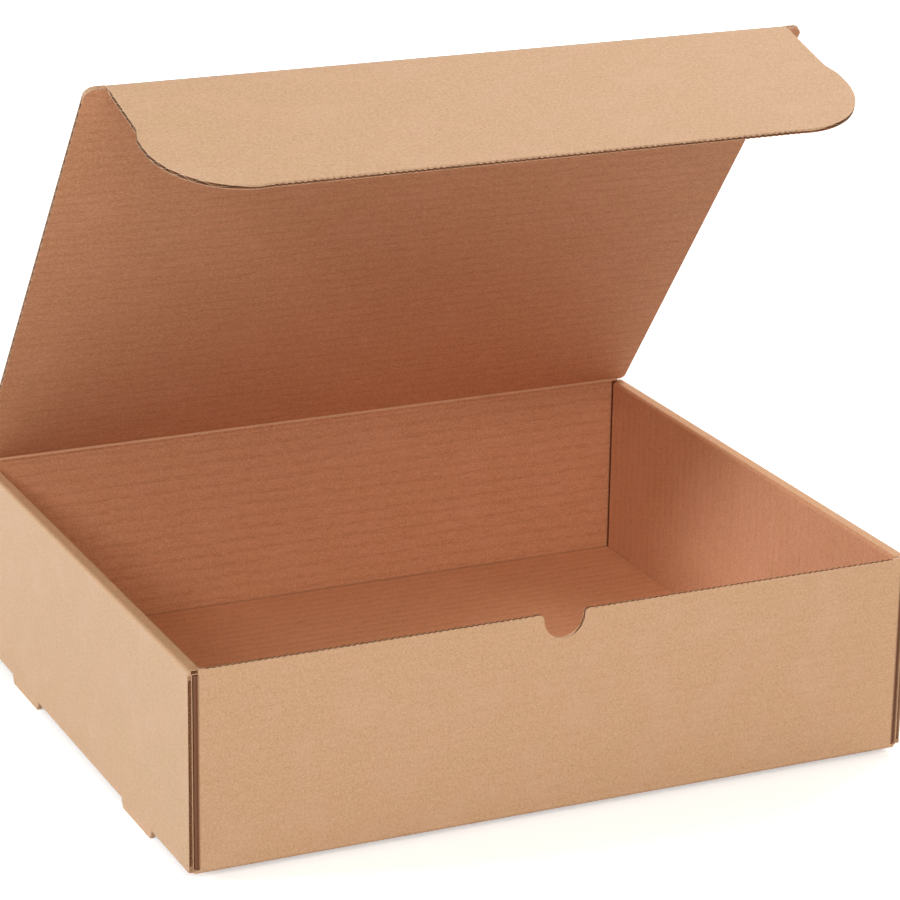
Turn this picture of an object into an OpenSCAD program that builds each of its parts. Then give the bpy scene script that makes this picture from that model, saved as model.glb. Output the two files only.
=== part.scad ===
// Corrugated mailer box folded from one die-cut sheet of brown board.
// The tray has a single front and back wall and rolled-over double side walls.
// The lid hangs on the back wall and ends in a tuck flap with two rounded ears.
// Millimetres, +Z up, front wall towards -Y.
// The origin is the middle of the underside of the tray's base.

/* [Box] */
// Width over the two side walls
box_w = 369; // [260:1:460]
// Depth over the front and back walls
box_d = 300; // [220:1:380]
// Height of the front wall and of the rolled side walls
box_h = 99; // [70:1:150]

/* [Board] */
// Thickness of the corrugated board
board = 2.3; // [2:0.1:3]
// Length of one wave of the fluting
flute_pitch = 6.5; // [5.5:0.1:8]
// Thickness of each smooth facing paper
liner = 0.3; // [0.2:0.05:0.4]
// Thickness of the wavy paper between the facings
medium = 0.25; // [0.2:0.05:0.3]
// Outer radius of a folded edge
fold_r = 2; // [1:0.1:2]

/* [Lid and tuck flap] */
// How far the lid stands open from closed, in degrees
lid_open = 53; // [0:1:180]
// How far the tuck flap is folded in from flat, in degrees
flap_fold = 69; // [0:1:112]
// Gap between the lid's front fold and the front wall
lid_setback = 5.4; // [5:0.1:12]
// How much shorter the tuck flap is than the box is high
flap_short = 2.5; // [2:0.1:10]
// How far each ear of the flap stands out past the flap's root
ear_out = 2.6; // [1:0.1:5]
// Distance from the fold to the shoulder of each ear
ear_start = 39; // [20:1:50]
// Radius of the flap's two free corners
ear_r = 40; // [20:1:42]
// Radius of the lid's two front corners
lid_corner_r = 5; // [2:0.5:8]
// Radius of the lid's two corners at the hinge
lid_hinge_r = 3; // [1:0.5:4]

/* [Front wall] */
// Radius of the thumb notch
notch_r = 10.5; // [8:0.5:16]
// Radius that eases the notch into the top edge
notch_ease = 2.5; // [1:0.5:5]
// Length of one tooth of the serrated cutting rule
tooth_pitch = 3; // [2:0.5:6]
// Depth of the teeth
tooth_depth = 0.5; // [0.2:0.1:1]

/* [Side walls] */
// Length of a corner flap tucked inside a side wall
corner_flap = 72; // [40:1:100]
// Length of each locking lug and of the slot behind it
lug_len = 40; // [20:1:60]
// Distance of the lugs' middles from the middle of the side
lug_pos = 81; // [50:1:110]
// How far the lugs stand out below the base
lug_drop = 3.4; // [1:0.1:5]
// How far the side walls' cut ends sit back from the front face
side_back = 0.5; // [0.2:0.1:4]

/* [Hidden] */
$fn = 64;

// Gaps between layers of board, and round the moving lid and flap.
gap_out = 0.4;
gap_in = 0.15;
ease = 0.3;

// Layers of a side wall, from the outside in: outer panel, corner flap, inner panel.
x_out = box_w / 2;
x_panel = x_out - board;
x_corner = x_panel - gap_out;
x_wall = x_corner - board;
x_inner = x_wall - gap_in - board;

// Ends of the side wall's outer panel, of its fold along the base and of its inner panel.
// The top runs as far as the outer panel, over the corner folds, but is cut back at the front wall.
y_face = box_d / 2;
y_wall = y_face - board;
y_panel = y_face - side_back;
y_fold = y_wall - 0.7;
y_inner = y_wall - 1.3;

// Creases: the board is pressed thin each side of the line it folds on.
crease_half = 0.7;
crease_run = 4;
crease_gap = 1.3;

// Lid hinge line and the sizes of the lid and its flap.
y_hinge = y_face - board / 2;
z_hinge = box_h + ease + board / 2;
lid_w = box_w - 1;
lid_len = box_d - 2 * board - lid_setback;
crease_w = 2 * x_wall;
flap_len = box_h - flap_short;
ear_half = x_inner - ease;
root_half = ear_half - ear_out;
ear_end = flap_len - ear_r;

// Fluting: a wave of paper between the two facings.
half = board / 2;
core = half - liner;
wave = core - medium / 2;
cell_steps = 8;
cell_half = 0.43 * flute_pitch;

// One hollow between a facing and the wave, seen along the flutes.
// The facing is below, and the hollow's middle is at (s, 0).
module cell(s, up) {
    rise = [
        for (i = [0 : cell_steps])
            let (d = -cell_half + 2 * cell_half * i / cell_steps)
                [s + d, up * (wave * cos(360 * d / flute_pitch) - medium / 2)]
    ];
    polygon(concat(rise, [[s + cell_half, -up * core], [s - cell_half, -up * core]]));
}

// All the hollows from s_low to s_high, with one cell's middle at s_mid.
module cells(s_low, s_high, s_mid) {
    first = ceil((s_low - s_mid) / (flute_pitch / 2));
    last = floor((s_high - s_mid) / (flute_pitch / 2));
    for (k = [first : last])
        cell(s_mid + k * flute_pitch / 2, k % 2 == 0 ? 1 : -1);
}

// Extrudes a section drawn in (y, z) along X, centred on the box.
module along_x(width) {
    rotate([90, 0, 90])
        linear_extrude(height = width, center = true)
            children();
}

// Extrudes a section drawn in (x, z) along Y, between two values of y.
module along_y(y_low, y_high) {
    translate([0, y_high, 0])
        rotate([90, 0, 0])
            linear_extrude(height = y_high - y_low)
                children();
}

// A square of board with its lower right corner rounded: a fold seen end on.
module fold_square() {
    difference() {
        square([board, board]);
        translate([board - fold_r, 0])
            difference() {
                translate([0, -1])
                    square([fold_r + 1, fold_r + 1]);
                translate([0, fold_r])
                    circle(fold_r);
            }
    }
}

// Section of a creased edge: tapers from full board to a rounded thin end at (0, 0).
// The panel lies on the +s side.
module crease_end() {
    polygon([
        [0, -crease_half], [crease_half, -crease_half], [crease_run, -half],
        [crease_run, half], [crease_half, crease_half], [0, crease_half]
    ]);
    circle(crease_half);
}

// Section of the facing crease: starts clear of the rounded end.
module crease_start() {
    polygon([
        [crease_gap, -crease_half], [crease_run, -half],
        [crease_run, half], [crease_gap, crease_half]
    ]);
}

// Points of a serrated edge at height z, from x_low to x_high.
function teeth(x_low, x_high, z) =
    let (n = floor((x_high - x_low) / tooth_pitch), p = (x_high - x_low) / n)
        [for (i = [0 : n - 1], j = [0, 1]) [x_low + (i + j / 2) * p, z - j * tooth_depth]];

// Base with the folds along its front and back edges.
module base_sheet() {
    along_x(2 * x_panel)
        translate([-y_fold, 0])
            square([2 * y_fold, board]);
    for (end = [0, 1])
        mirror([0, end, 0])
            along_x(2 * (x_corner - gap_out))
                union() {
                    translate([y_fold - 1, 0])
                        square([y_wall - y_fold + 1, board]);
                    translate([y_wall, 0])
                        fold_square();
                }
}

// Front wall: serrated top edge, thumb notch, and open flutes at the cut edges.
module front_wall() {
    side = notch_r + notch_ease + 2;
    difference() {
        along_y(-y_face, -y_wall)
            difference() {
                polygon(concat(
                    [[x_wall, box_h], [x_wall, board], [-x_wall, board], [-x_wall, box_h]],
                    teeth(-x_wall + 3, -side, box_h),
                    [[-side, box_h], [side, box_h]],
                    teeth(side, x_wall - 3, box_h),
                    [[x_wall - 3, box_h]]
                ));
                thumb_notch();
            }
        along_x(2 * x_wall - 8)
            translate([-y_face + half, 0])
                rotate([0, 0, 90])
                    cells(box_h - 1.6 * flute_pitch, box_h, box_h);
    }
}

// Outline taken out of the front wall for a thumb.
module thumb_notch() {
    translate([0, box_h - notch_ease])
        circle(notch_r);
    translate([-notch_r, box_h - notch_ease])
        square([2 * notch_r, notch_ease + 1]);
    for (end = [0, 1])
        mirror([end, 0])
            difference() {
                translate([notch_r - 0.5, box_h - notch_ease])
                    square([notch_ease + 0.5, notch_ease + 1]);
                translate([notch_r + notch_ease, box_h - notch_ease])
                    circle(notch_ease);
            }
}

// Back wall, pressed thin along its top where the lid folds.
module back_wall() {
    along_x(crease_w)
        translate([y_wall, board])
            square([board, z_hinge - crease_run - board]);
    along_x(crease_w)
        translate([y_hinge, z_hinge])
            rotate([0, 0, -90])
                crease_end();
}

// Corner flap: folds back from the end of the front wall and hides inside the side wall.
// Drawn for the front right corner.
module corner_fold() {
    translate([x_wall, -y_face, board + gap_out])
        linear_extrude(height = box_h - 2 * board - 2 * gap_out)
            fold_square();
    translate([x_wall, 0, 0])
        rotate([90, 0, 90])
            linear_extrude(height = board)
                polygon([
                    [-y_wall, board + gap_out],
                    [-y_wall + corner_flap, board + gap_out + 4],
                    [-y_wall + corner_flap, box_h - board - gap_out - 4],
                    [-y_wall, box_h - board - gap_out]
                ]);
}

// Rolled side wall on the right: fold along the base, outer panel, top, inner panel.
module side_wall() {
    difference() {
        union() {
            along_y(-y_fold, y_fold)
                translate([x_panel, 0])
                    fold_square();
            along_y(-y_panel, y_panel)
                translate([x_panel, board])
                    square([board, box_h - 2 * board]);
            along_y(-y_inner, y_inner)
                roll_section();
            along_y(-y_panel, y_panel)
                intersection() {
                    roll_section();
                    translate([x_wall + ease, box_h - board])
                        square([x_out - x_wall, board]);
                }
        }
        for (end = [-1, 1]) {
            lug_gap(end);
            translate([x_panel + half, 0, 2 * board])
                linear_extrude(height = box_h - 4 * board)
                    rotate([0, 0, 90])
                        cell(end * y_panel, 1);
            translate([x_inner + half, 0, 2 * board])
                linear_extrude(height = box_h - 4 * board)
                    rotate([0, 0, 90])
                        cell(end * y_inner, 1);
            translate([x_wall, end * y_panel, box_h - half])
                rotate([0, 90, 0])
                    linear_extrude(height = board + 0.8)
                        rotate([0, 0, 90])
                            cell(0, -1);
        }
    }
    for (end = [-1, 1]) {
        locking_lug(end);
        locking_tab(end);
    }
}

// Top of the side wall and its inner panel, in (x, z).
module roll_section() {
    translate([x_panel, box_h])
        mirror([0, 1])
            fold_square();
    translate([x_inner + board, box_h - board])
        square([x_panel - x_inner - board, board]);
    translate([x_inner + board, box_h])
        rotate([0, 0, 180])
            fold_square();
    translate([x_inner, board + ease])
        square([board, box_h - 2 * board - ease]);
}

// Room cut in the fold and the base for one lug and the tab behind it.
module lug_gap(end) {
    translate([x_inner - ease, end * lug_pos - lug_len / 2 - ease, -1])
        cube([x_out - x_inner + ease + 1, lug_len + 2 * ease, board + 1]);
}

// Lug: the outer panel runs straight down through the fold and out below the base.
module locking_lug(end) {
    translate([x_panel, end * lug_pos, 0])
        rotate([90, 0, 90])
            linear_extrude(height = board)
                polygon([
                    [-lug_len / 2, board], [-lug_len / 2, 0], [-lug_len / 2 + 2, -lug_drop],
                    [lug_len / 2 - 2, -lug_drop], [lug_len / 2, 0], [lug_len / 2, board]
                ]);
}

// Tab on the inner panel's bottom edge, pushed down into the slot.
module locking_tab(end) {
    translate([x_inner, end * lug_pos, 0])
        rotate([90, 0, 90])
            linear_extrude(height = board)
                polygon([
                    [-lug_len / 2 + 1, board + ease + 1], [-lug_len / 2 + 1, board],
                    [-lug_len / 2 + 3, ease], [lug_len / 2 - 3, ease],
                    [lug_len / 2 - 1, board], [lug_len / 2 - 1, board + ease + 1]
                ]);
}

module tray() {
    color("burlywood") {
        difference() {
            base_sheet();
            for (side = [0, 1], end = [-1, 1])
                mirror([side, 0, 0])
                    lug_gap(end);
        }
        front_wall();
        back_wall();
        for (side = [0, 1])
            mirror([side, 0, 0]) {
                side_wall();
                corner_fold();
                mirror([0, 1, 0])
                    corner_fold();
            }
    }
}

// Outline of the lid in (x, s): small round corners at both ends.
module lid_outline() {
    r = lid_corner_r;
    q = lid_hinge_r;
    x = lid_w / 2;
    translate([-x, q + ease])
        square([2 * x, lid_len - q - ease - r]);
    translate([-x + r, lid_len - r - 0.5])
        square([2 * x - 2 * r, r + 0.5]);
    translate([-x + q, ease])
        square([2 * x - 2 * q, q + 0.5]);
    for (end = [-1, 1]) {
        translate([end * (x - r), lid_len - r])
            circle(r);
        translate([end * (x - q), q + ease])
            circle(q);
    }
}

// Lid panel lying along +Y from the hinge line, with its inner face towards +Z.
// The flutes run the full width, so their ends show at both side edges.
module lid_panel() {
    difference() {
        intersection() {
            along_x(lid_w + 2)
                translate([0, -half])
                    square([lid_len, board]);
            linear_extrude(height = board + 1, center = true)
                lid_outline();
        }
        along_x(lid_w + 4)
            cells(crease_run + cell_half, lid_len - crease_run - cell_half, lid_len / 2);
        along_x(crease_w)
            translate([0, -board])
                square([crease_run, 2 * board]);
        along_x(crease_w + 2 * ease)
            translate([0, -board])
                square([crease_gap, 2 * board]);
        along_x(2 * root_half)
            translate([lid_len - crease_run, -board])
                square([crease_run + 1, 2 * board]);
    }
    along_x(crease_w)
        crease_start();
    along_x(2 * root_half)
        translate([lid_len, 0])
            mirror([1, 0])
                crease_end();
}

// Places what is drawn in the lid's own frame on the open lid.
module on_lid() {
    translate([0, y_hinge, z_hinge])
        rotate([180 - lid_open, 0, 0])
            children();
}

module lid() {
    color("tan")
        on_lid()
            lid_panel();
}

// Outline of the tuck flap in (x, s): straight root, shoulders, ears, serrated free edge.
module flap_outline() {
    shoulder = [for (i = [0 : 8]) [root_half + ear_out * (1 - cos(22.5 * i)) / 2, ear_start + 1.5 * i]];
    left = [for (i = [0 : 8]) [-shoulder[8 - i][0], shoulder[8 - i][1]]];
    flat_half = ear_half - ear_r;
    polygon(concat(
        [[-root_half, 0], [root_half, 0]],
        shoulder,
        [[ear_half, ear_end], [-ear_half, ear_end]],
        left
    ));
    polygon(concat(
        [[flat_half, ear_end - 1], [-flat_half, ear_end - 1]],
        teeth(-flat_half, flat_half, flap_len),
        [[flat_half, flap_len]]
    ));
    for (end = [-1, 1])
        translate([end * flat_half, ear_end])
            circle(ear_r);
}

// Tuck flap lying along +Y from its fold, with its inner face towards +Z.
module flap_panel() {
    difference() {
        intersection() {
            along_x(2 * ear_half + 2)
                translate([crease_run, -half])
                    square([flap_len, board]);
            linear_extrude(height = board + 1, center = true)
                flap_outline();
        }
        along_x(2 * ear_half + 4)
            cells(crease_run + cell_half, flap_len + 1, crease_run + 1.15 * cell_half);
    }
    along_x(2 * root_half)
        crease_start();
}

module tuck_flap() {
    color("wheat")
        on_lid()
            translate([0, lid_len, 0])
                rotate([flap_fold, 0, 0])
                    flap_panel();
}

tray();
lid();
tuck_flap();
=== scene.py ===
import math

import bmesh
import bpy
from mathutils import Matrix, Vector


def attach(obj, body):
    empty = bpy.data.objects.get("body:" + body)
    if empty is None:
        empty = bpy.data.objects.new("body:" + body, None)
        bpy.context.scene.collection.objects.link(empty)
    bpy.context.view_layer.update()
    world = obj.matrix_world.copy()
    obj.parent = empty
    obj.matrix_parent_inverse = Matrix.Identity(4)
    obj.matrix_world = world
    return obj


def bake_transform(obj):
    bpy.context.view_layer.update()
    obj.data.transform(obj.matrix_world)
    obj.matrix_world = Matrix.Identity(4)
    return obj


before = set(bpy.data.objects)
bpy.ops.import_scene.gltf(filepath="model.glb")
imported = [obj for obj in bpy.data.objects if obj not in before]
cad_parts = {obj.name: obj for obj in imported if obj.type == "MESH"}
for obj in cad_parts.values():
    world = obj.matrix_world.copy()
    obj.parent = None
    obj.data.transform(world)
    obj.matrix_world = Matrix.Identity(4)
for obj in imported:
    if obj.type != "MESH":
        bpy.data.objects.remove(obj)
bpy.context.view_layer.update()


# The camera.
# It looks down into the half-open box from the left of its front, through a long lens, from
# 1.8 metres away.
CAMERA_PLACE = Vector((-0.6947, -1.5113, 0.7039))
CAMERA_TURN = math.radians(-25.014)
CAMERA_TILT = math.radians(90 - 19.049)
CAMERA_ROLL = math.radians(0.912)
LENS_MM = 143.37
SENSOR_MM = 36
SEES_AS_FAR_AS = 50


def add(name, data):
    """Puts a new object into the scene."""
    thing = bpy.data.objects.new(name, data)
    bpy.context.scene.collection.objects.link(thing)
    return thing


camera = add("camera", bpy.data.cameras.new("camera"))
camera.data.lens = LENS_MM
camera.data.sensor_width = SENSOR_MM
camera.data.clip_end = SEES_AS_FAR_AS
camera.matrix_world = (
    Matrix.Translation(CAMERA_PLACE)
    @ Matrix.Rotation(CAMERA_TURN, 4, "Z")
    @ Matrix.Rotation(CAMERA_TILT, 4, "X")
    @ Matrix.Rotation(CAMERA_ROLL, 4, "Z")
)
bpy.context.scene.camera = camera


# The tray.
# One sheet of brown B-flute board, die-cut and scored, folded up into base, front, back and
# rolled side walls. The facings are unbleached kraft paper, with the fluting glued between them.
BOARD = 0.0023
FLUTE = 0.0065
FACING = 0.0003
TRAY_WIDTH = 0.369
TRAY_DEPTH = 0.300
TRAY_HEIGHT = 0.099
WALL_X = 0.1795
WALL_Y = TRAY_DEPTH / 2 - BOARD
FRONT_MIDDLE = TRAY_DEPTH / 2 - BOARD / 2
CORE = BOARD / 2 - FACING
OPEN_FLUTES = 0.014
CUT_ENDS = WALL_Y - 0.004
OUTER_PANEL_MIDDLE = TRAY_WIDTH / 2 - BOARD / 2
INNER_PANEL_MIDDLE = WALL_X - 0.0013
ROLL_INSIDE = WALL_X - 0.003
ROLL_BOTTOM = TRAY_HEIGHT - 0.004
ROLL_FLUTES_END = TRAY_WIDTH / 2 - 0.0016
ROLL_TO_INSIDE = WALL_X - 0.001
# In a pair, an effect starts at the first value and is full at the second.
CORNER_FOLD = (WALL_X - 0.0008, WALL_X + 0.0007)
BASE_FOLD = (0.0015, 0.0002)
REAR_GAP = (WALL_X - 0.0032, WALL_X - 0.0024)
# How squarely a face looks along an axis, in the same way.
SQUARE_ON = (0.70, 0.72)
ROUNDED_OFF = (0.02, 0.25)
ON_TOP = (0.35, 0.8)
MOSTLY = 0.75
HARDLY = 0.25
REAR_GAP_HALF = 0.0004
# A hair's breadth, which keeps an effect off a neighbouring face.
HAIR = 0.0002

PULP = (0.700, 0.430, 0.248, 1)
PULP_PALE = (0.820, 0.575, 0.380, 1)
PULP_DARK = (0.525, 0.262, 0.138, 1)
PULP_PINK = (0.706, 0.420, 0.252, 1)
INNER_TINT = (0.915, 0.727, 0.650, 1)
# Painted shade, laid on the upward-facing tops of the rolled side walls.
ROLL_TOP_SHADE = (0.925, 0.868, 0.795, 1)
# The fluting's brown, darkened with painted shade of its hollows and laid over the whole cut core
# between the facings.
FLUTING_AND_HOLLOW_SHADE = (0.270, 0.115, 0.052, 1)
CUT_PAPER = (0.740, 0.490, 0.315, 1)
CUT_BROWN = (0.480, 0.265, 0.150, 1)
GLUE_LINE = (0.70, 0.59, 0.52, 1)
# Painted shade for the corner folds, the base's folds and the gap at each rear corner.
PAINTED_FOLD_SHADE = (0.26, 0.14, 0.10, 1)
# Outside and inside of the sheet.
STREAKS = (0.12, 0.34)
FELTED = (0.48, 0.68)
LINES_SHOW = (0.2, 1.0)
LARGEST_FLECK = 0.14
SIDE_LINES = 0.35
SIDE_CUT_PALE = 0.38
BASE_FOLD_SHADE = 0.3
EDGE_RUB = 0.3
RUBBED_PALE = 0.35
ROUGHNESS = 0.58
ROUGHNESS_SPREAD = 0.25
FELT_RELIEF = 0.00006
WASHBOARD_RELIEF = 0.00006

OVER, UNDER = "GREATER_THAN", "LESS_THAN"


def put(tree, kind, sockets=None, **settings):
    """Adds a node, sets it, and gives each named socket a value or a link."""
    node = tree.nodes.new(kind)
    for name, value in settings.items():
        setattr(node, name, value)
    for name, value in (sockets or {}).items():
        if isinstance(value, bpy.types.NodeSocket):
            tree.links.new(value, node.inputs[name])
        else:
            node.inputs[name].default_value = value
    return node


def calc(tree, operation, *values, clamp=False):
    """One sum of a Math node."""
    sockets = dict(enumerate(values))
    return put(tree, "ShaderNodeMath", sockets, operation=operation, use_clamp=clamp).outputs[0]


def xyz(tree, vector):
    """The X, Y and Z of a vector."""
    return put(tree, "ShaderNodeSeparateXYZ", {"Vector": vector}).outputs


def absolute(tree, value):
    return calc(tree, "ABSOLUTE", value)


def times(tree, first, second):
    return calc(tree, "MULTIPLY", first, second)


def larger(tree, first, second):
    return calc(tree, "MAXIMUM", first, second)


def pick(tree, share, first, second):
    """The first number where share is 0, the second where it is 1."""
    return put(tree, "ShaderNodeMix", {0: share, 2: first, 3: second}).outputs[0]


def ramp(tree, value, low, high):
    """0 below low, 1 above high, smooth between."""
    sockets = {"Value": value, "From Min": low, "From Max": high}
    node = put(tree, "ShaderNodeMapRange", sockets, interpolation_type="SMOOTHSTEP")
    return node.outputs["Result"]


def tint(tree, share, under, over, how="MIX"):
    """Lays one colour over another."""
    sockets = {0: share, 6: under, 7: over}
    return put(tree, "ShaderNodeMix", sockets, data_type="RGBA", blend_type=how).outputs[2]


def noise(tree, vector, scale, detail, rough):
    sockets = {"Vector": vector, "Scale": scale, "Detail": detail, "Roughness": rough}
    return put(tree, "ShaderNodeTexNoise", sockets).outputs["Fac"]


def stretch(tree, vector, sizes, turn=0.0):
    sockets = {"Vector": vector, "Scale": sizes, "Rotation": (0, 0, turn)}
    return put(tree, "ShaderNodeMapping", sockets).outputs["Vector"]


def name_sockets(tree, takes, gives):
    """Gives a node group its named inputs, with their usual values, and its named outputs."""
    for label, kind, value in takes:
        socket = tree.interface.new_socket(label, in_out="INPUT", socket_type="NodeSocket" + kind)
        if value is not None:
            socket.default_value = value
    for label, kind in gives:
        tree.interface.new_socket(label, in_out="OUTPUT", socket_type="NodeSocket" + kind)


def new_group(name, takes, gives):
    """A shader node group with named sockets."""
    group = bpy.data.node_groups.new(name, "ShaderNodeTree")
    name_sockets(group, takes, gives)
    return group, put(group, "NodeGroupInput").outputs, put(group, "NodeGroupOutput").inputs


def empty_tree(owner):
    """The node tree of a material or of the world, with nothing in it."""
    owner.use_nodes = True
    owner.node_tree.nodes.clear()
    return owner.node_tree


def make_paper_group():
    """Kraft paper: felted pulp, streaks along the sheet's machine direction, fibres and flecks."""
    group, given, result = new_group(
        "kraft paper",
        [
            ("Sheet", "Vector", None),
            ("Pulp", "Color", PULP),
            ("Pale", "Color", PULP_PALE),
            ("Dark", "Color", PULP_DARK),
            ("Pink", "Color", PULP_PINK),
            ("Cloud", "Float", 0.16),
            ("Felt", "Float", 0.50),
            ("Streak", "Float", 0.2),
            ("Fleck", "Float", 0.5),
        ],
        [("Color", "Color"), ("Height", "Float"), ("Rough", "Float")],
    )
    sheet = given["Sheet"]
    cloud = noise(group, stretch(group, sheet, (1, 1.6, 1)), scale=26, detail=2, rough=0.6)
    felt = noise(group, stretch(group, sheet, (0.7, 1.0, 1)), scale=1050, detail=3, rough=0.72)
    streak = noise(group, stretch(group, sheet, (1, 15, 1)), scale=85, detail=3, rough=0.62)
    fibre = stretch(group, sheet, (0.25, 1, 1), turn=0.25)
    fibre = noise(group, fibre, scale=3400, detail=1, rough=0.6)

    colour = tint(group, ramp(group, cloud, 0.35, 0.65), given["Pulp"], given["Pink"])
    for pattern, reach, strength, laid_over in (
        (felt, (0.48, 0.68), "Felt", "Pale"),
        (felt, (0.52, 0.32), "Felt", "Dark"),
        (cloud, (0.45, 0.72), "Cloud", "Pale"),
        (streak, (0.50, 0.68), "Streak", "Dark"),
        (fibre, (0.58, 0.74), "Felt", "Pale"),
    ):
        share = times(group, ramp(group, pattern, *reach), given[strength])
        colour = tint(group, share, colour, given[laid_over])

    chips_at = stretch(group, sheet, (0.7, 1, 1), turn=0.3)
    sockets = {"Vector": chips_at, "Scale": 210, "Randomness": 1.0}
    chips = put(group, "ShaderNodeTexVoronoi", sockets).outputs
    draw = put(group, "ShaderNodeSeparateColor", {"Color": chips["Color"]}).outputs
    spot = calc(group, UNDER, chips["Distance"], times(group, draw[1], LARGEST_FLECK))
    spot = times(group, spot, given["Fleck"])
    for reach, laid_over in (((0.80, 0.95), "Dark"), ((0.35, 0.10), "Pale")):
        share = times(group, spot, ramp(group, draw[0], *reach))
        colour = tint(group, share, colour, given[laid_over])

    group.links.new(colour, result["Color"])
    group.links.new(felt, result["Height"])
    rough = calc(group, "MULTIPLY_ADD", felt, ROUGHNESS_SPREAD, ROUGHNESS)
    group.links.new(rough, result["Rough"])
    return group


def make_washboard_group():
    """Washboard: the facing sinks a little between the tips of the fluting that it is glued to,
    and the glue lines show through as thin, broken, darker lines."""
    group, given, result = new_group(
        "washboard",
        [("Sheet", "Vector", None), ("Flute", "Float", FLUTE), ("Shift", "Float", 0.0)],
        [("Line", "Float"), ("Height", "Float")],
    )
    sheet = given["Sheet"]
    sway = noise(group, stretch(group, sheet, (1, 3, 1)), scale=34, detail=1, rough=0.6)
    fray = noise(group, stretch(group, sheet, (1, 5, 1)), scale=130, detail=2, rough=0.7)
    count = calc(group, "DIVIDE", xyz(group, sheet)[1], given["Flute"])
    count = calc(group, "ADD", count, given["Shift"])
    count = calc(group, "ADD", count, calc(group, "MULTIPLY_ADD", sway, 0.5, -0.25))
    swing = calc(group, "COSINE", times(group, count, 2 * math.pi))
    wander = calc(group, "ADD", count, calc(group, "MULTIPLY_ADD", fray, 0.4, -0.2))
    line = calc(group, "COSINE", times(group, wander, 2 * math.pi))
    line = times(group, ramp(group, line, 0.05, 1.0), ramp(group, fray, 0.32, 0.62))
    group.links.new(line, result["Line"])
    group.links.new(calc(group, "MULTIPLY_ADD", swing, 0.5, 0.5), result["Height"])
    return group


paper_group = make_paper_group()
washboard_group = make_washboard_group()


def kraft_board(name, sheet_of, masks_of, washboard, shift=0.0, relief=WASHBOARD_RELIEF):
    """A board material. sheet_of gives the sheet's own coordinates; masks_of says what is core
    (fluting, painted dark with the shade of its hollows), cut edge, inner side, rubbed, rolled top
    (painted shade) or fold with painted shade, and how clearly the glue lines show.
    A mask that it leaves out is 0 everywhere."""
    material = bpy.data.materials.new(name)
    tree = empty_tree(material)
    coordinates = put(tree, "ShaderNodeTexCoord").outputs
    sheet = sheet_of(tree, coordinates)
    masks = dict.fromkeys(("core", "cut", "inner", "rubbed", "rolled", "shade", "lines"), 0.0)
    masks.update(masks_of(tree, coordinates, sheet))

    streak = pick(tree, masks["inner"], *STREAKS)
    felt = pick(tree, masks["inner"], *FELTED)
    paper = put(tree, "ShaderNodeGroup", node_tree=paper_group)
    for label, value in (("Sheet", sheet), ("Streak", streak), ("Felt", felt)):
        tree.links.new(value, paper.inputs[label])
    ripple = put(tree, "ShaderNodeGroup", node_tree=washboard_group)
    tree.links.new(sheet, ripple.inputs["Sheet"])
    ripple.inputs["Shift"].default_value = shift

    facing = calc(tree, "SUBTRACT", 1, masks["core"], clamp=True)
    line = times(tree, times(tree, ripple.outputs["Line"], facing), washboard)
    line = times(tree, line, pick(tree, masks["inner"], *LINES_SHOW))
    line = times(tree, line, masks["lines"])
    ragged = ramp(tree, paper.outputs["Height"], 0.36, 0.58)
    colour = paper.outputs["Color"]
    for share, over, how in (
        (masks["inner"], INNER_TINT, "MULTIPLY"),
        (line, GLUE_LINE, "MULTIPLY"),
        # Painted shade in the folds and gaps.
        (masks["shade"], PAINTED_FOLD_SHADE, "MULTIPLY"),
        (times(tree, masks["rubbed"], RUBBED_PALE), PULP_PALE, "MIX"),
        # Painted shade on the roll tops.
        (masks["rolled"], ROLL_TOP_SHADE, "MULTIPLY"),
        # Fluting, darkened with painted shade of its hollows.
        (masks["core"], FLUTING_AND_HOLLOW_SHADE, "MIX"),
        (masks["cut"], CUT_BROWN, "MIX"),
        (times(tree, masks["cut"], ragged), CUT_PAPER, "MIX"),
    ):
        colour = tint(tree, share, colour, over, how)

    height = times(tree, times(tree, ripple.outputs["Height"], facing), -relief)
    height = calc(tree, "MULTIPLY_ADD", paper.outputs["Height"], FELT_RELIEF, height)
    bump = put(tree, "ShaderNodeBump", {"Height": height, "Distance": 1.0, "Strength": 1.0})
    finish = put(
        tree,
        "ShaderNodeBsdfPrincipled",
        {
            "Base Color": colour,
            "Roughness": paper.outputs["Rough"],
            "Normal": bump.outputs["Normal"],
            "IOR": 1.45,
            "Specular IOR Level": 0.4,
        },
    )
    output = put(tree, "ShaderNodeOutputMaterial", {"Surface": finish.outputs[0]})
    output.is_active_output = True
    return material


def dress(node_name, material):
    """Gives a CAD node one material."""
    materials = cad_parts[node_name].data.materials
    materials.clear()
    materials.append(material)


def tray_sheet(tree, coordinates):
    """Flutes run along X on the base, front and back, and up the side walls."""
    place = xyz(tree, coordinates["Object"])
    facing = xyz(tree, coordinates["Normal"])
    on_side = ramp(tree, absolute(tree, facing[0]), *SQUARE_ON)
    on_wall = ramp(tree, absolute(tree, facing[1]), *SQUARE_ON)
    along = pick(tree, on_side, place[0], place[2])
    across = pick(tree, on_wall, place[1], place[2])
    through = calc(tree, "ADD", pick(tree, on_wall, place[2], place[1]), place[0])
    return put(tree, "ShaderNodeCombineXYZ", {"X": along, "Y": across, "Z": through}).outputs[0]


def keep(tree, mask, *tests):
    """A mask, kept only where every test holds."""
    for comparison, value, limit in tests:
        mask = times(tree, mask, calc(tree, comparison, value, limit))
    return mask


def in_core(tree, from_middle):
    """Between the two facings, given how far a point is from the middle of the board."""
    return calc(tree, UNDER, absolute(tree, from_middle), CORE)


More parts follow.
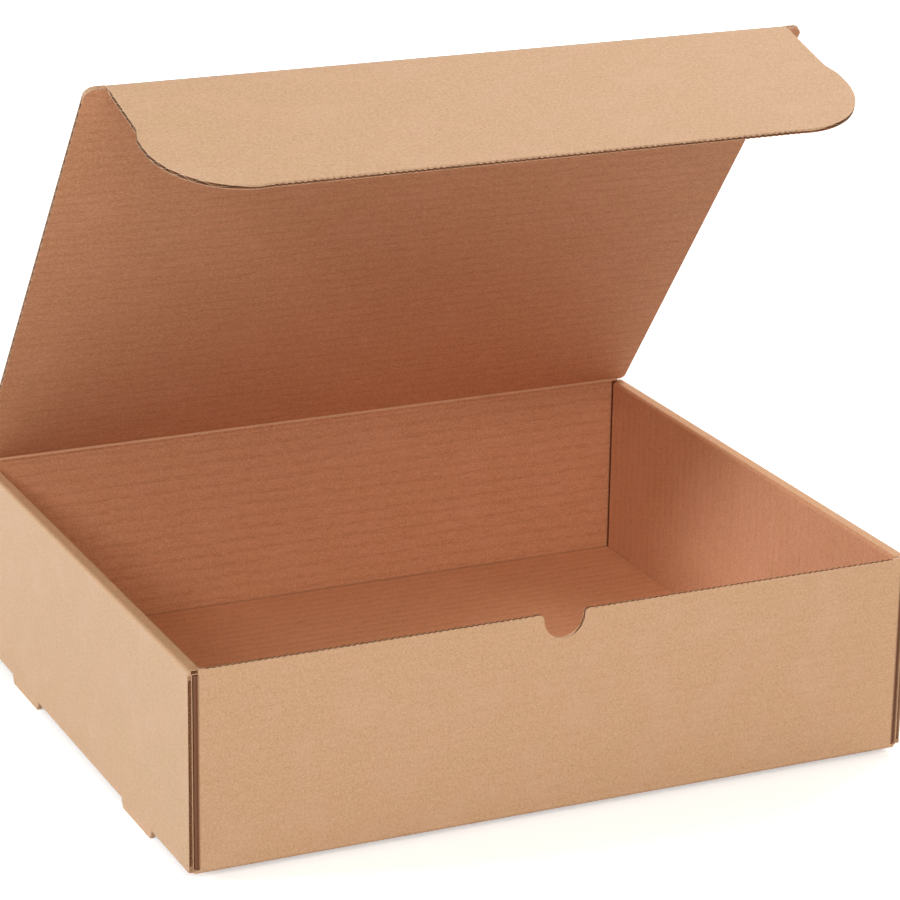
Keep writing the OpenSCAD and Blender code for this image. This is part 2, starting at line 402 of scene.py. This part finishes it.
def tray_core(tree, place, out_x, out_y):
    """The fluting, painted dark with the shade of its hollows, where the front wall's top and the
    side walls' ends are cut.
    """
    core = in_core(tree, calc(tree, "ADD", place[1], FRONT_MIDDLE))
    core = keep(tree, core, (OVER, place[2], TRAY_HEIGHT - OPEN_FLUTES), (UNDER, out_x, WALL_X))
    for middle, reach in ((OUTER_PANEL_MIDDLE, TRAY_DEPTH), (INNER_PANEL_MIDDLE, WALL_Y - HAIR)):
        panel_end = keep(
            tree,
            in_core(tree, calc(tree, "SUBTRACT", out_x, middle)),
            (OVER, out_y, CUT_ENDS),
            (UNDER, out_y, reach),
            (UNDER, place[2], TRAY_HEIGHT - BOARD),
            (OVER, place[2], BOARD),
        )
        core = larger(tree, core, panel_end)
    roll_end = keep(
        tree,
        in_core(tree, calc(tree, "SUBTRACT", place[2], TRAY_HEIGHT - BOARD / 2)),
        (OVER, out_y, CUT_ENDS),
        (OVER, out_x, WALL_X + HAIR),
        (UNDER, out_x, ROLL_FLUTES_END),
    )
    return larger(tree, core, roll_end)


def tray_shade(tree, place, out_x, out_y, inner):
    """Painted shade in the corner folds, along the base's folds and in the gap at each rear corner.
    """
    shade = keep(
        tree,
        ramp(tree, out_x, *CORNER_FOLD),
        (OVER, out_y, CUT_ENDS),
        (UNDER, out_x, WALL_X + BOARD + HAIR),
        (UNDER, place[2], TRAY_HEIGHT - BOARD - HAIR),
        (OVER, place[2], BOARD + FACING),
    )
    from_wall = calc(tree, "SUBTRACT", WALL_Y, out_y)
    from_fold = calc(tree, "ADD", from_wall, calc(tree, "SUBTRACT", place[2], BOARD))
    base_fold = times(tree, ramp(tree, from_fold, *BASE_FOLD), inner)
    shade = larger(tree, shade, times(tree, base_fold, BASE_FOLD_SHADE))
    gap = keep(
        tree,
        ramp(tree, out_x, *REAR_GAP),
        (OVER, place[1], WALL_Y - REAR_GAP_HALF),
        (UNDER, out_x, WALL_X),
        (UNDER, place[1], WALL_Y + REAR_GAP_HALF),
    )
    return larger(tree, shade, gap)


def tray_masks(tree, coordinates, sheet):
    """Where the folded tray shows its fluting with painted hollow shade, its cuts, inner side and
    rubbed edges, and painted shade on the roll tops and in the folds.
    """
    place = xyz(tree, coordinates["Object"])
    out_x = absolute(tree, place[0])
    out_y = absolute(tree, place[1])
    facing = [absolute(tree, part) for part in xyz(tree, coordinates["Normal"])]
    core = tray_core(tree, place, out_x, out_y)
    side_cut = times(tree, calc(tree, OVER, facing[1], MOSTLY), SIDE_CUT_PALE)
    front_cut = calc(tree, UNDER, facing[1], HARDLY)
    cut = pick(tree, calc(tree, UNDER, out_x, WALL_X), side_cut, front_cut)
    inner = keep(
        tree,
        calc(tree, UNDER, out_x, ROLL_TO_INSIDE),
        (OVER, place[1], -WALL_Y - FACING),
        (UNDER, place[1], WALL_Y + BOARD / 2),
        (OVER, place[2], BOARD / 2),
    )
    squarest = larger(tree, larger(tree, facing[0], facing[1]), facing[2])
    rounded = ramp(tree, calc(tree, "SUBTRACT", 1, squarest), *ROUNDED_OFF)
    on_top = ramp(tree, facing[2], *ON_TOP)
    return {
        "core": core,
        "cut": times(tree, core, cut),
        "inner": inner,
        "rubbed": times(tree, rounded, EDGE_RUB),
        "shade": tray_shade(tree, place, out_x, out_y, inner),
        "lines": pick(tree, ramp(tree, facing[0], *SQUARE_ON), 1.0, SIDE_LINES),
        # Painted shade on the upward-facing tops of the rolled side walls.
        "rolled": keep(tree, on_top, (OVER, out_x, ROLL_INSIDE), (OVER, place[2], ROLL_BOTTOM)),
    }


dress("tray", kraft_board("tray board", tray_sheet, tray_masks, washboard=0.30, shift=0.2))


# Torn fibres on the tray's die-cut edges.
# The cutting rule leaves short flakes of paper across the open flutes, on the front wall's top
# and on the ends of the side walls. They lie almost flat on the cut.
FLAKE_LENGTH = 0.0010
FLAKE_SPACING = 0.0010
FLAKES_BELOW_TOP = 0.0004
FLAKES_BEHIND_END = 0.0007
FRONT_CUT_HALF = 0.176
NOTCH_HALF = 0.016
SIDE_CUT_FOOT = 0.003
FLAKES_PALE = 0.6


def chance(tree, low, high, seed, draw):
    """A random number for each point. The flakes make several draws from one seed."""
    sockets = {2: low, 3: high, "Seed": calc(tree, "ADD", seed, draw)}
    return put(tree, "FunctionNodeRandomValue", sockets, data_type="FLOAT").outputs[1]


def scaled(tree, vector, size):
    return put(tree, "ShaderNodeVectorMath", {0: vector, 3: size}, operation="SCALE").outputs[0]


def plus(tree, first, second):
    return put(tree, "ShaderNodeVectorMath", {0: first, 1: second}, operation="ADD").outputs[0]


def make_flake_tree():
    """Strews thin tapered flakes along the edges of a path that runs down the middle of a cut."""
    tree = bpy.data.node_groups.new("torn fibres", "GeometryNodeTree")
    name_sockets(
        tree,
        [
            ("Geometry", "Geometry", None),
            ("Spacing", "Float", FLAKE_SPACING),
            ("Flake length", "Float", FLAKE_LENGTH),
            ("Board", "Float", BOARD),
            ("Seed", "Int", 1),
            ("Paper", "Material", None),
        ],
        [("Geometry", "Geometry")],
    )
    given = put(tree, "NodeGroupInput").outputs
    seed = given["Seed"]
    path = put(tree, "GeometryNodeMeshToCurve", {"Mesh": given["Geometry"]}).outputs[0]
    sockets = {"Curve": path, "Length": given["Spacing"]}
    path = put(tree, "GeometryNodeResampleCurve", sockets, mode="LENGTH").outputs[0]
    spots = put(tree, "GeometryNodeCurveToPoints", {"Curve": path}, mode="EVALUATED").outputs
    along = spots["Tangent"]
    kind = "GeometryNodeInputNamedAttribute"
    through, outward = (
        put(tree, kind, {"Name": name}, data_type="FLOAT_VECTOR").outputs[0]
        for name in ("through", "outward")
    )

    depth = times(tree, chance(tree, -0.27, 0.27, seed, 0), given["Board"])
    slip = times(tree, chance(tree, -0.6, 0.6, seed, 1), given["Spacing"])
    shift = plus(tree, scaled(tree, through, depth), scaled(tree, along, slip))
    sockets = {"Geometry": spots["Points"], "Offset": shift}
    placed = put(tree, "GeometryNodeSetPosition", sockets).outputs[0]
    lean = scaled(tree, along, chance(tree, 0.4, 1.2, seed, 2))
    lean = plus(tree, lean, scaled(tree, through, chance(tree, -0.5, 0.5, seed, 3)))
    lean = plus(tree, lean, scaled(tree, outward, chance(tree, 0.0, 0.18, seed, 4)))
    turn = put(tree, "FunctionNodeAlignRotationToVector", {"Vector": lean}, axis="Z").outputs[0]
    size = times(tree, chance(tree, 0.35, 1.0, seed, 5), given["Flake length"])
    width = times(tree, chance(tree, 0.5, 1.3, seed, 6), given["Flake length"])
    sizes = put(tree, "ShaderNodeCombineXYZ", {"X": width, "Y": width, "Z": size}).outputs[0]
    sockets = {"Vertices": 5, "Radius Top": 0.03, "Radius Bottom": 0.13, "Depth": 1.0}
    flake = put(tree, "GeometryNodeMeshCone", sockets, fill_type="NGON").outputs["Mesh"]
    sockets = {"Points": placed, "Instance": flake, "Rotation": turn, "Scale": sizes}
    flakes = put(tree, "GeometryNodeInstanceOnPoints", sockets).outputs[0]
    flakes = put(tree, "GeometryNodeRealizeInstances", {"Geometry": flakes}).outputs[0]
    sockets = {"Geometry": flakes, "Material": given["Paper"]}
    flakes = put(tree, "GeometryNodeSetMaterial", sockets).outputs[0]
    put(tree, "NodeGroupOutput", {"Geometry": flakes})
    return tree


flake_tree = make_flake_tree()


def flake_masks(tree, coordinates, sheet):
    return {"cut": FLAKES_PALE}


def flake_sheet(tree, coordinates):
    return coordinates["Object"]


flake_paper = kraft_board("torn paper", flake_sheet, flake_masks, washboard=0.0, relief=0.0)


def make_flakes(name, paths, body, seed):
    """paths: rows of points, each with its ways out of the cut and its way through the board."""
    points, edges, outward, through = [], [], [], []
    for row, out_of, across in paths:
        for index, point in enumerate(row):
            if index:
                edges.append((len(points) - 1, len(points)))
            points.append(point)
            outward.extend(out_of[index])
            through.extend(across)
    mesh = bpy.data.meshes.new(name + "_path")
    mesh.from_pydata(points, edges, [])
    mesh.attributes.new("outward", "FLOAT_VECTOR", "POINT").data.foreach_set("vector", outward)
    mesh.attributes.new("through", "FLOAT_VECTOR", "POINT").data.foreach_set("vector", through)
    flakes = add(name, mesh)
    modifier = flakes.modifiers.new("torn fibres", "NODES")
    modifier.node_group = flake_tree
    for item in flake_tree.interface.items_tree:
        if item.name in ("Seed", "Paper"):
            modifier[item.identifier] = seed if item.name == "Seed" else flake_paper
    bpy.context.view_layer.update()
    graph = bpy.context.evaluated_depsgraph_get()
    finished = bpy.data.meshes.new_from_object(flakes.evaluated_get(graph))
    finished.name = name
    flakes.modifiers.remove(modifier)
    flakes.data = finished
    bpy.data.meshes.remove(mesh)
    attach(flakes, body)


def tray_cuts():
    """The front wall's top edge and the ends of the side walls."""
    for side in (-1, 1):
        ends = sorted((side * NOTCH_HALF, side * FRONT_CUT_HALF))
        row = [(x, -FRONT_MIDDLE, TRAY_HEIGHT - FLAKES_BELOW_TOP) for x in ends]
        yield row, [(0, 0, 1)] * 2, (0, 1, 0)
    for side in (-1, 1):
        for end in (-1, 1):
            x = side * OUTER_PANEL_MIDDLE
            y = end * (TRAY_DEPTH / 2 - FLAKES_BEHIND_END)
            row = [(x, y, z) for z in (SIDE_CUT_FOOT, TRAY_HEIGHT - BOARD)]
            yield row, [(0, end, 0)] * 2, (1, 0, 0)


make_flakes("tray_fibres", tray_cuts(), "tray", seed=11)


# The lid.
# A single panel of the same sheet, hinged on the back wall by a scored fold. Its side edges are
# die-cut across the flutes, so the wave between the facings shows there.
HINGE = Vector((0, 0.14885, 0.10045))
LID_FROM_FLAT = 53
LID_TILT = math.radians(180 - LID_FROM_FLAT)
LID_WIDTH = 0.368
LID_LENGTH = 0.290
LID_CUT = (0.004, LID_LENGTH - 0.005)
LID_CUT_PALE = 0.7


def laid_flat(tree, coordinates, origin, tilt):
    """A panel's own coordinates: X along the flutes, Y away from its fold, Z through the board."""
    sockets = {"Vector": coordinates["Object"], "Location": origin, "Rotation": (tilt, 0, 0)}
    return put(tree, "ShaderNodeMapping", sockets, vector_type="TEXTURE").outputs["Vector"]


def panel_masks(tree, coordinates, sheet, tilt):
    """Core: everything between the two facings, painted dark as fluting with the shade of its
    hollows. Cut: what a die cut across the layers.
    """
    through = xyz(tree, sheet)[2]
    sockets = {"Vector": coordinates["Normal"], "Rotation": (tilt, 0, 0)}
    facing = put(tree, "ShaderNodeMapping", sockets, vector_type="TEXTURE").outputs["Vector"]
    edge_on = calc(tree, UNDER, absolute(tree, xyz(tree, facing)[2]), HARDLY)
    return {
        "core": in_core(tree, through),
        "cut": times(tree, edge_on, LID_CUT_PALE),
        "inner": calc(tree, OVER, through, 0),
        "lines": 1.0,
    }


def lid_sheet(tree, coordinates):
    return laid_flat(tree, coordinates, HINGE, LID_TILT)


def lid_masks(tree, coordinates, sheet):
    return panel_masks(tree, coordinates, sheet, LID_TILT)


dress("lid", kraft_board("lid board", lid_sheet, lid_masks, washboard=0.24))


def on_panel(origin, tilt, row, out_of):
    """Turns a row of points drawn on a flat panel, with its directions, to where the panel is."""
    turn = Matrix.Rotation(tilt, 4, "X")
    place = Matrix.Translation(origin) @ turn
    row = [tuple(place @ Vector(point)) for point in row]
    out_of = [tuple(turn @ Vector(way)) for way in out_of]
    return row, out_of, tuple(turn @ Vector((0, 0, 1)))


def lid_cuts():
    """Both side edges of the lid, from corner to corner."""
    for side in (-1, 1):
        row = [(side * LID_WIDTH / 2, reach, 0) for reach in LID_CUT]
        yield on_panel(HINGE, LID_TILT, row, [(side, 0, 0)] * 2)


make_flakes("lid_fibres", lid_cuts(), "lid", seed=23)


# The tuck flap.
# It closes the box behind the front wall: a strip folded along the lid's front edge, with two
# rounded ears. Its upper side is the outside of the sheet.
FLAP_FROM_LID = 69
FLAP_TILT = LID_TILT + math.radians(FLAP_FROM_LID)
FLAP_FOLD = HINGE + LID_LENGTH * Vector((0, math.cos(LID_TILT), math.sin(LID_TILT)))
FLAP_LENGTH = 0.0965
ROOT_HALF = 0.17415
EAR_HALF = 0.17675
EAR_START = 0.039
EAR_RADIUS = 0.040
EAR_STEPS = 12
SHOULDER = 0.012
CUT_START = 0.005
FREE_EDGE = FLAP_LENGTH - 0.003
FREE_EDGE_CORE = 0.5
FLAKE_INSET = 0.00035
FREE_EDGE_FLAKES = FLAP_LENGTH - 0.0004 - FLAKE_INSET


def flap_sheet(tree, coordinates):
    return laid_flat(tree, coordinates, FLAP_FOLD, FLAP_TILT)


def flap_masks(tree, coordinates, sheet):
    """As on the lid, but the dark fluting with its painted hollow shade is only half as strong at
    the serrated free edge.
    """
    masks = panel_masks(tree, coordinates, sheet, FLAP_TILT)
    free_edge = calc(tree, OVER, xyz(tree, sheet)[1], FREE_EDGE)
    masks["core"] = times(tree, masks["core"], pick(tree, free_edge, 1.0, FREE_EDGE_CORE))
    return masks


dress("tuck_flap", kraft_board("flap board", flap_sheet, flap_masks, washboard=0.12))


def flap_cuts():
    """The edge from the fold, over the shoulder and round each ear to the serrated free edge."""
    ear_half = EAR_HALF - FLAKE_INSET
    root_half = ROOT_HALF - FLAKE_INSET
    corner = (ear_half - EAR_RADIUS, FLAP_LENGTH - FLAKE_INSET - EAR_RADIUS)
    for side in (-1, 1):
        row = [(root_half, CUT_START), (root_half, EAR_START), (ear_half, EAR_START + SHOULDER)]
        way = [(1, 0)] * 3
        for step in range(EAR_STEPS + 1):
            turn = math.radians(90 * step / EAR_STEPS)
            round_ear = (math.cos(turn), math.sin(turn))
            row.append(tuple(middle + EAR_RADIUS * part for middle, part in zip(corner, round_ear)))
            way.append(round_ear)
        row = [(side * x, s, 0) for x, s in row]
        yield on_panel(FLAP_FOLD, FLAP_TILT, row, [(side * x, s, 0) for x, s in way])
    free_half = EAR_HALF - EAR_RADIUS
    row = [(x, FREE_EDGE_FLAKES, 0) for x in (-free_half, free_half)]
    yield on_panel(FLAP_FOLD, FLAP_TILT, row, [(0, 1, 0)] * 2)


make_flakes("flap_fibres", flap_cuts(), "tuck_flap", seed=37)


# The two creases.
# Where the lid folds off the back wall, and the flap off the lid, the board is pressed thin by a
# scoring rule and bends. Each crease is a strip of the same sheet that runs from panel to panel.
CREASE_REACH = 0.0042
CREASE_THIN = 0.00078
CREASE_CORE = 0.00045
CREASE_TURN = 0.0013
CREASE_RUBBED = (0.0016, 0.0002)
GAP_TOP = -0.0012
PRESSED_FLAT = 0.0008
TAPER = 0.0031
PULLED_IN = 0.00018
SWAYS = ((0.00012, 61, 0.4), (0.00007, 173, 1.1))
BEAD_BEFORE = 0.0010
BEAD_SPREAD = 0.0011
STANDS_PROUD = 0.00004
ENDS_SUNK = 0.00010
ENDS_START = 0.0039
SPANS = 96
STATIONS = 36
SHARP_EDGE = math.radians(40)
BACK_TILT = math.radians(90)


def make_crease_material():
    """The same kraft board, on the strip's own sheet coordinates, rubbed pale on the bend, with
    painted shade on its inner side near its ends, below the fold, beside the gap at each rear
    corner.
    """

    def strip_sheet(tree, coordinates):
        return put(tree, "ShaderNodeAttribute", attribute_name="sheet").outputs["Vector"]

    def strip_masks(tree, coordinates, sheet):
        along, across, through = xyz(tree, sheet)
        inner = calc(tree, OVER, through, 0)
        # Painted shade on the inner side near the ends, beside the gap at each rear corner.
        gap = ramp(tree, absolute(tree, along), *REAR_GAP)
        gap = times(tree, keep(tree, gap, (UNDER, across, GAP_TOP)), inner)
        return {
            "core": calc(tree, UNDER, absolute(tree, through), CREASE_CORE),
            "inner": inner,
            "rubbed": ramp(tree, absolute(tree, across), *CREASE_RUBBED),
            "shade": gap,
        }

    return kraft_board("crease board", strip_sheet, strip_masks, washboard=0.0, relief=0.0)


crease_material = make_crease_material()


def strip_thickness(s, side, bead):
    """Half the strip's thickness on one side, at a distance s from the fold line."""
    taper = min(max((abs(s) - PRESSED_FLAT) / TAPER, 0), 1)
    thick = CREASE_THIN + (BOARD / 2 - CREASE_THIN) * taper
    if side == 1:
        thick += bead * math.exp(-(((s + BEAD_BEFORE) / BEAD_SPREAD) ** 2))
    return thick + (STANDS_PROUD if abs(s) < ENDS_START else -ENDS_SUNK)


def strip_faces():
    """The quads of both sides of the strip, of its two long edges and of its two ends."""
    row = STATIONS + 1
    ring = 2 * row
    for a in range(0, SPANS * ring, ring):
        b = a + ring
        for j in range(STATIONS):
            k = j + row
            yield (a + j, a + j + 1, b + j + 1, b + j)
            yield (a + k, b + k, b + k + 1, a + k + 1)
        yield (a, b, b + row, a + row)
        yield (a + STATIONS + row, b + STATIONS + row, b + STATIONS, a + STATIONS)
    for start, order in ((0, 1), (SPANS * ring, -1)):
        for j in range(start, start + STATIONS):
            yield (j, j + row, j + row + 1, j + 1)[::order]


def make_crease(name, fold, tilt_before, tilt_after, half_width, bead):
    """A strip of thinned board round a fold line along X, between two panels. The fold pushes its
    inner side up in a bead, just before the line."""
    before = Vector((0, math.cos(tilt_before), math.sin(tilt_before)))
    after = Vector((0, math.cos(tilt_after), math.sin(tilt_after)))
    vertices, sheet = [], []
    for i in range(SPANS + 1):
        x = half_width * (2 * i / SPANS - 1)
        sway = sum(width * math.sin(x * waves + start) for width, waves, start in SWAYS)
        for side in (1, -1):
            for j in range(STATIONS + 1):
                s = CREASE_REACH * (2 * j / STATIONS - 1)
                share = min(max((s + sway) / (2 * CREASE_TURN) + 0.5, 0), 1)
                share = share * share * (3 - 2 * share)
                tilt = tilt_before + (tilt_after - tilt_before) * share
                across = Vector((0, -math.sin(tilt), math.cos(tilt)))
                pull = max(0.0, 1 - abs(s) / CREASE_TURN)
                centre = fold + (before * s if s < 0 else after * s)
                centre += (after - before) * PULLED_IN * pull * pull
                height = side * strip_thickness(s, side, bead)
                point = centre + across * height
                vertices.append((x, point.y, point.z))
                sheet.append((x, s, height))
    mesh = bpy.data.meshes.new(name)
    mesh.from_pydata(vertices, [], list(strip_faces()))
    mesh.attributes.new("sheet", "FLOAT_VECTOR", "POINT").data.foreach_set(
        "vector", [value for point in sheet for value in point]
    )
    mesh.materials.append(crease_material)
    shape = bmesh.new()
    shape.from_mesh(mesh)
    bmesh.ops.recalc_face_normals(shape, faces=shape.faces)
    shape.to_mesh(mesh)
    shape.free()
    mesh.shade_smooth()
    mesh.set_sharp_from_angle(angle=SHARP_EDGE)
    crease = add(name, mesh)
    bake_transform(crease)


make_crease(
    "lid_crease",
    HINGE,
    BACK_TILT,
    LID_TILT,
    half_width=0.1799,
    bead=0.00062,
)
make_crease(
    "flap_crease",
    FLAP_FOLD,
    LID_TILT,
    FLAP_TILT,
    half_width=0.1743,
    bead=0.0,
)


# The floor.
# Wide white paper that the box stands on. For the light it is a pale matt floor, and it keeps the
# box's shadow. Only the camera sees it near white, and pure white away from the box.
FLOOR_Z = -0.0034
FLOOR_SIDE = 12
FLOOR_NEAR = -8
FLOOR_FAR = 14
FLOOR_PAPER = (0.85, 0.85, 0.85, 1)
FLOOR_GLOW = 0.5
FADES_TO_WHITE = (0.7, 2.0)

floor_mesh = bpy.data.meshes.new("floor")
floor_mesh.from_pydata(
    [
        (-FLOOR_SIDE, FLOOR_NEAR, FLOOR_Z),
        (FLOOR_SIDE, FLOOR_NEAR, FLOOR_Z),
        (FLOOR_SIDE, FLOOR_FAR, FLOOR_Z),
        (-FLOOR_SIDE, FLOOR_FAR, FLOOR_Z),
    ],
    [],
    [(0, 1, 2, 3)],
)
floor = add("floor", floor_mesh)
floor_material = bpy.data.materials.new("white floor")
tree = empty_tree(floor_material)
matt = put(tree, "ShaderNodeBsdfDiffuse", {"Color": FLOOR_PAPER}).outputs[0]
spot = put(tree, "ShaderNodeTexCoord").outputs["Object"]
away = put(tree, "ShaderNodeVectorMath", {0: spot}, operation="LENGTH").outputs["Value"]
faded = ramp(tree, away, *FADES_TO_WHITE)
strength = calc(tree, "MULTIPLY_ADD", faded, 1 - FLOOR_GLOW, FLOOR_GLOW)
glow = put(tree, "ShaderNodeEmission", {"Color": (1, 1, 1, 1), "Strength": strength}).outputs[0]
both = put(tree, "ShaderNodeAddShader", {0: matt, 1: glow}).outputs[0]
seen = put(tree, "ShaderNodeLightPath").outputs["Is Camera Ray"]
mixed = put(tree, "ShaderNodeMixShader", {0: seen, 1: matt, 2: both}).outputs[0]
put(tree, "ShaderNodeOutputMaterial", {"Surface": mixed})
floor_mesh.materials.append(floor_material)


# The light.
# Soft lamps as in a photo studio: one low and one higher on the left, two in front, and two on
# the right that also light the floor behind and beside the box. The room is almost dark.
LAMPS = [
    ("left low light", (-2.6, 0.6, 0.8), 0.5, 43, (0.77, 0.89, 1.00)),
    ("left light", (-1.9, -1.9, 1.6), 0.5, 23, (0.95, 0.98, 1.00)),
    ("front light", (-0.3, -2.7, 1.1), 1.6, 17, (1.00, 0.86, 0.82)),
    ("high light", (-0.8, -2.4, 2.6), 1.6, 30.5, (1.00, 0.99, 0.80)),
    ("right light", (2.2, 0.2, 1.8), 1.6, 18, (1.00, 1.00, 1.00)),
    ("back light", (1.4, 1.0, 1.8), 1.2, 34, (1.00, 1.00, 1.00)),
]
MIDDLE_OF_BOX = Vector((0, 0, 0.1))
WORLD_LIGHT = 0.02

for lamp_name, lamp_place, lamp_size, lamp_power, lamp_colour in LAMPS:
    lamp = bpy.data.lights.new(lamp_name, "AREA")
    lamp.size = lamp_size
    lamp.energy = lamp_power
    lamp.color = lamp_colour
    stand = add(lamp_name, lamp)
    stand.location = lamp_place
    aim = MIDDLE_OF_BOX - Vector(lamp_place)
    stand.rotation_euler = aim.to_track_quat("-Z", "Y").to_euler()

world = bpy.data.worlds.new("white room")
bpy.context.scene.world = world
tree = empty_tree(world)
seen = put(tree, "ShaderNodeLightPath").outputs["Is Camera Ray"]
strength = pick(tree, seen, WORLD_LIGHT, 1.0)
sky = put(tree, "ShaderNodeBackground", {"Color": (1, 1, 1, 1), "Strength": strength})
put(tree, "ShaderNodeOutputWorld", {"Surface": sky.outputs[0]})

bpy.context.scene.view_settings.view_transform = "Standard"
